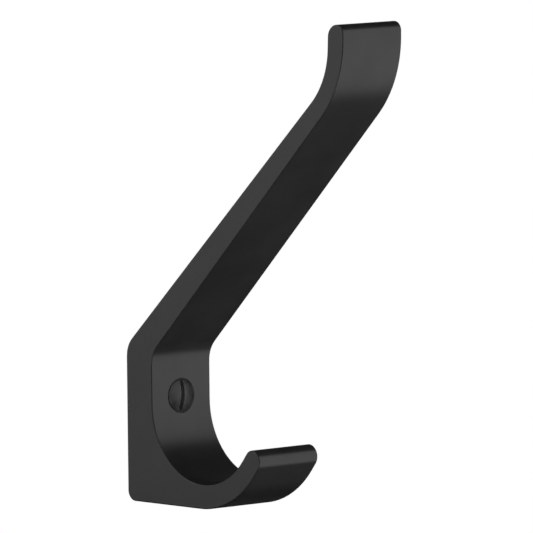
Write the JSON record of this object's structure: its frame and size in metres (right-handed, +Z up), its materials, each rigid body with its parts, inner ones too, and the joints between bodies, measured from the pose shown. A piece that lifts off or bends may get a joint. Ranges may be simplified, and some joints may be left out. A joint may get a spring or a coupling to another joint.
{
  "type": "hat hook",
  "caption": "Cast wall hook with a long slanted arm to an upturned tip for hats, a J-shaped lip below for coats, and its slotted raised-head screw.",
  "frame": {"origin": "on the flat back face, where the screw's axis crosses it, 27 mm above the underside", "axes": "+Z up as the hook hangs on the wall, +Y square into the wall, -Y out towards the room, +X to the right across the width as seen from the room"},
  "size_m": [0.02, 0.0929, 0.1255],
  "materials": {
    "hook_coat": "satin black powder coat on cast zinc alloy",
    "screw_finish": "satin black lacquer on steel"
  },
  "bodies": {
    "root": {"hook": "hook_coat", "screw": "screw_finish"}
  },
  "joints": []
}
